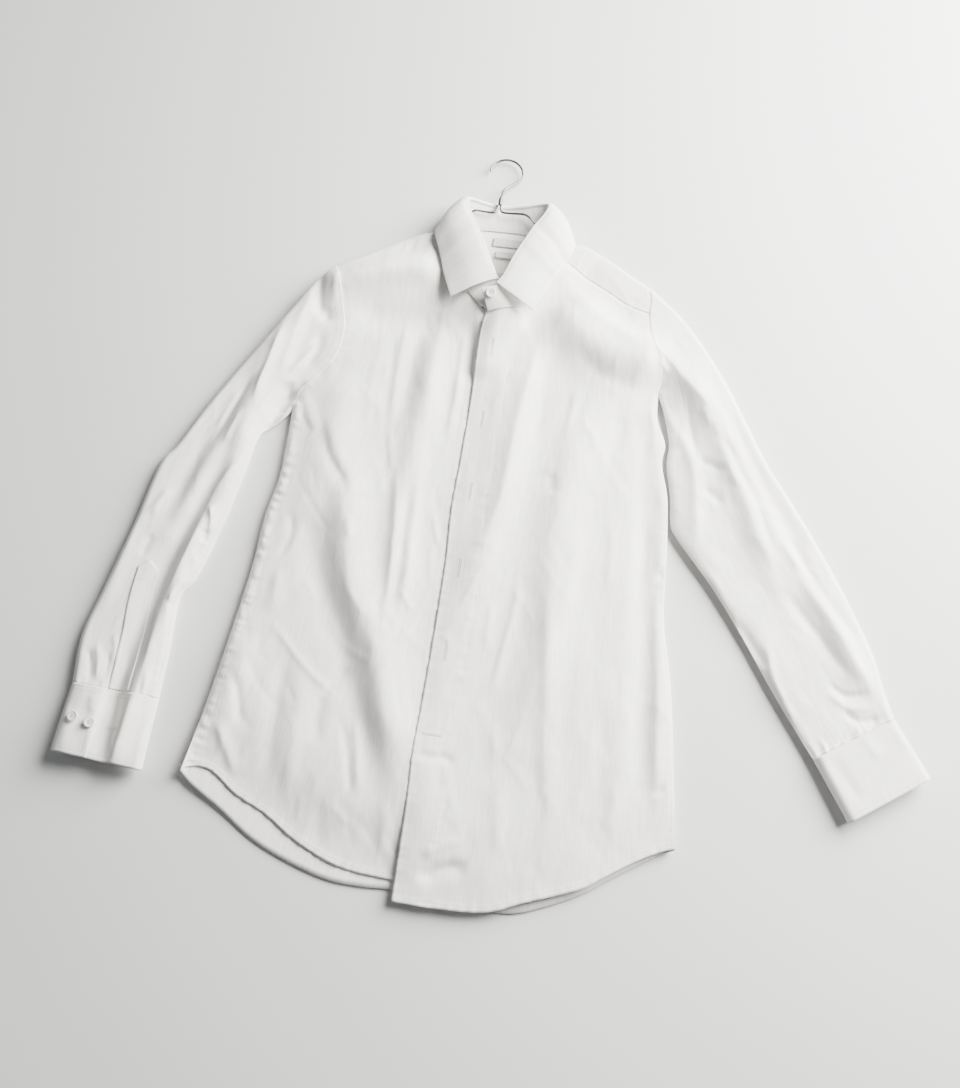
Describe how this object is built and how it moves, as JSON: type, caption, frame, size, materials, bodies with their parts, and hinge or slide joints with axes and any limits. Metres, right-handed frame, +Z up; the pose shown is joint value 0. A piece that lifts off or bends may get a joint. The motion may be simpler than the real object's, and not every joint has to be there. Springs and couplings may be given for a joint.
{
  "type": "dress shirt on a wire hanger",
  "caption": "Crumpled long-sleeved dress shirt laid on its back with its sleeves spread, an open collar, and a thin wire hanger in its neck.",
  "frame": {"origin": "middle of the outline, on the surface the shirt lies on", "axes": "+Z up from the surface, +Y towards the hanger's hook, +X towards the wearer's left sleeve"},
  "size_m": [0.887, 0.8597, 0.0489],
  "materials": {
    "cloth": "crumpled white poplin, matte",
    "button": "pale pearl, satin",
    "label": "blank woven ribbon, light grey",
    "wire": "plain steel wire, satin"
  },
  "bodies": {
    "root": {"back": "cloth", "yoke": "cloth", "front_right": "cloth", "front_left": "cloth", "collar_stand": "cloth", "collar_leaf": "cloth", "sleeve_right": "cloth", "sleeve_left": "cloth", "cuff_right": "cloth", "cuff_left": "cloth", "placket_right": "cloth", "placket_left": "cloth", "button_collar": "button", "button_front_1": "button", "button_front_2": "button", "button_front_3": "button", "button_front_4": "button", "button_front_5": "button", "button_front_6": "button", "button_cuff_right_1": "button", "button_cuff_right_2": "button", "button_cuff_left_1": "button", "button_cuff_left_2": "button", "label_upper": "label", "label_lower": "label", "hanger_hook": "wire", "hanger_arm_right": "wire", "hanger_arm_left": "wire", "hanger_bar": "wire"}
  },
  "joints": []
}
